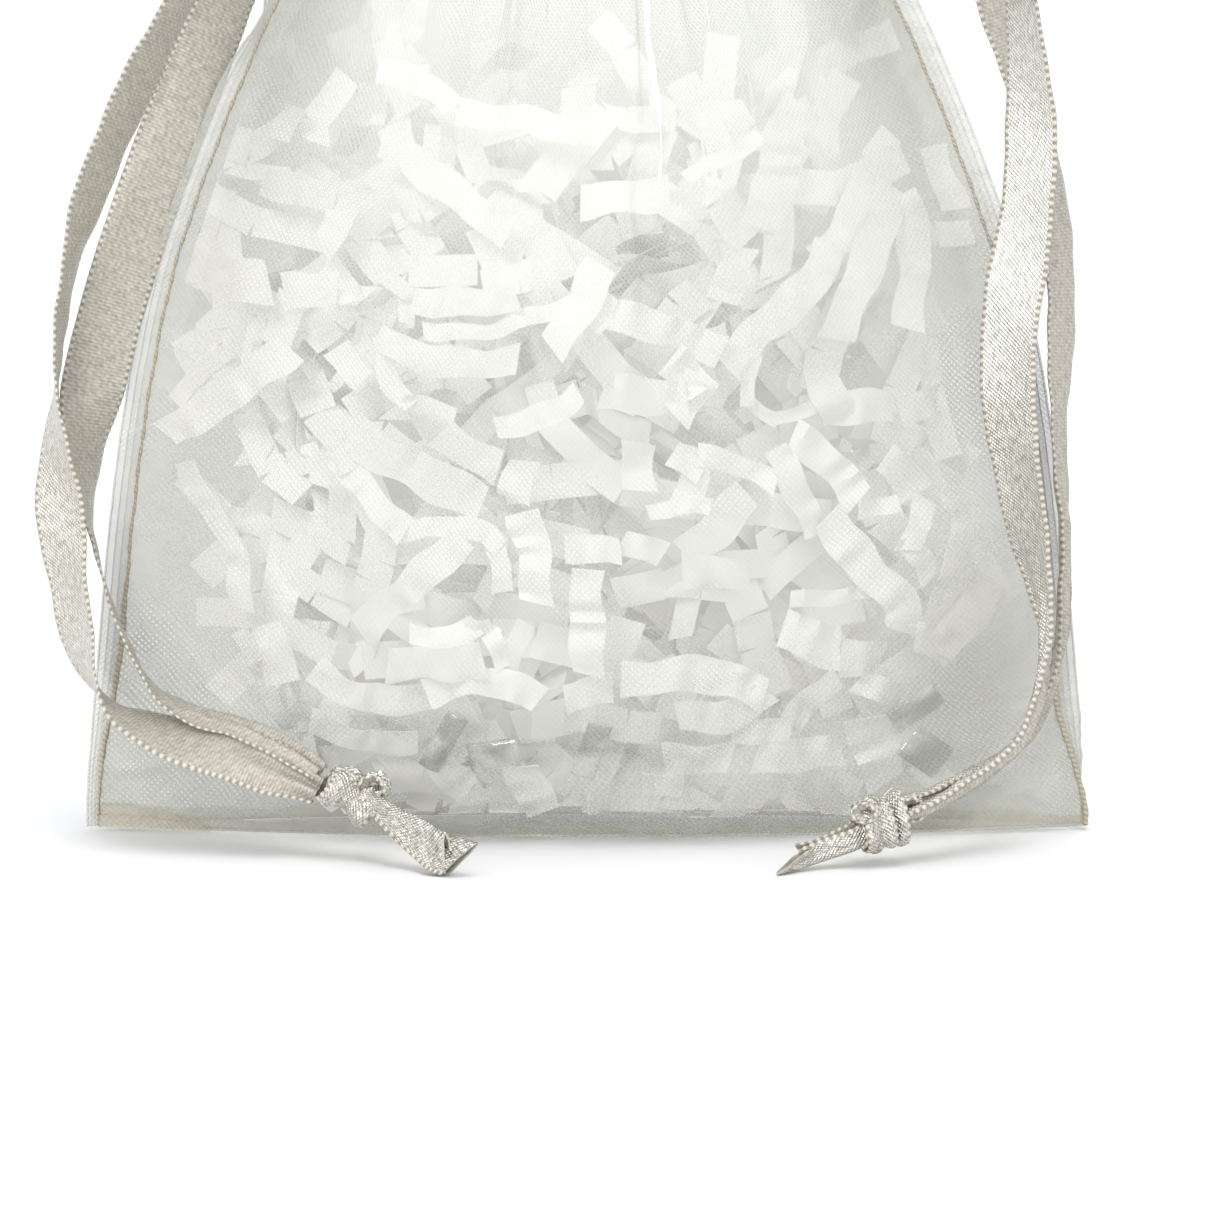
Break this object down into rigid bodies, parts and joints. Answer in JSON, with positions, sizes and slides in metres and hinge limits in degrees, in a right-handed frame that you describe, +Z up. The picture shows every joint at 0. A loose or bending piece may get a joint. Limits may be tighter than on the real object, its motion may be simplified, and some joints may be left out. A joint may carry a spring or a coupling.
{
  "type": "drawstring gift pouch",
  "caption": "Sheer organza drawstring pouch, standing filled with crinkle-cut paper, cinched at a ruffled neck by satin ribbons that end in knots.",
  "frame": {"origin": "middle of the base, on the surface that the pouch stands on", "axes": "+Z up from the base to the ruffled mouth, +X along the width towards the right-hand ribbon, -Y towards the front, where the knots lie"},
  "size_m": [0.1031, 0.0442, 0.141],
  "materials": {
    "organza": "satin",
    "organza_seam": "satin",
    "thread": "matte",
    "satin_ribbon": "satin",
    "paper": "matte",
    "clear_film": "gloss"
  },
  "bodies": {
    "pouch": {"front_panel": "organza", "back_panel": "organza", "bottom_fold": "organza", "left_side_seam": "organza_seam", "right_side_seam": "organza_seam", "left_seam_thread": "thread", "right_seam_thread": "thread", "casing_front": "organza_seam", "casing_back": "organza_seam", "casing_stitching_front": "thread", "casing_stitching_back": "thread", "paper_fill_lower": "paper", "paper_fill_middle": "paper", "paper_fill_upper": "paper", "film_strips": "clear_film"},
    "header": {"header_front": "organza", "header_back": "organza", "header_hem_front": "organza_seam", "header_hem_back": "organza_seam"},
    "left_loop": {"left_ribbon_loop": "satin_ribbon"},
    "left_ribbon": {"left_strand_front": "satin_ribbon", "left_strand_back": "satin_ribbon", "left_knot": "satin_ribbon", "left_tail_upper": "satin_ribbon", "left_tail_lower": "satin_ribbon"},
    "right_loop": {"right_ribbon_loop": "satin_ribbon"},
    "right_ribbon": {"right_strand_front": "satin_ribbon", "right_strand_back": "satin_ribbon", "right_knot": "satin_ribbon", "right_tail_upper": "satin_ribbon", "right_tail_lower": "satin_ribbon"}
  },
  "joints": [
    {"name": "header_flop", "type": "hinge", "parent": "pouch", "child": "header", "pos_m": [0, 0, 0.1134], "axis": [1, 0, 0], "range_deg": [-20, 20], "stiffness_Nm_per_rad": 0.002},
    {"name": "left_pull", "type": "slide", "parent": "pouch", "child": "left_loop", "axis": [-1, 0, 0], "range_m": [0, 0.008]},
    {"name": "left_swing", "type": "hinge", "parent": "left_loop", "child": "left_ribbon", "pos_m": [-0.0122, 0, 0.106], "axis": [0, 1, 0], "range_deg": [0, 45]},
    {"name": "right_pull", "type": "slide", "parent": "pouch", "child": "right_loop", "axis": [1, 0, 0], "range_m": [0, 0.008]},
    {"name": "right_swing", "type": "hinge", "parent": "right_loop", "child": "right_ribbon", "pos_m": [0.0122, 0, 0.11], "axis": [0, -1, 0], "range_deg": [0, 45]}
  ]
}
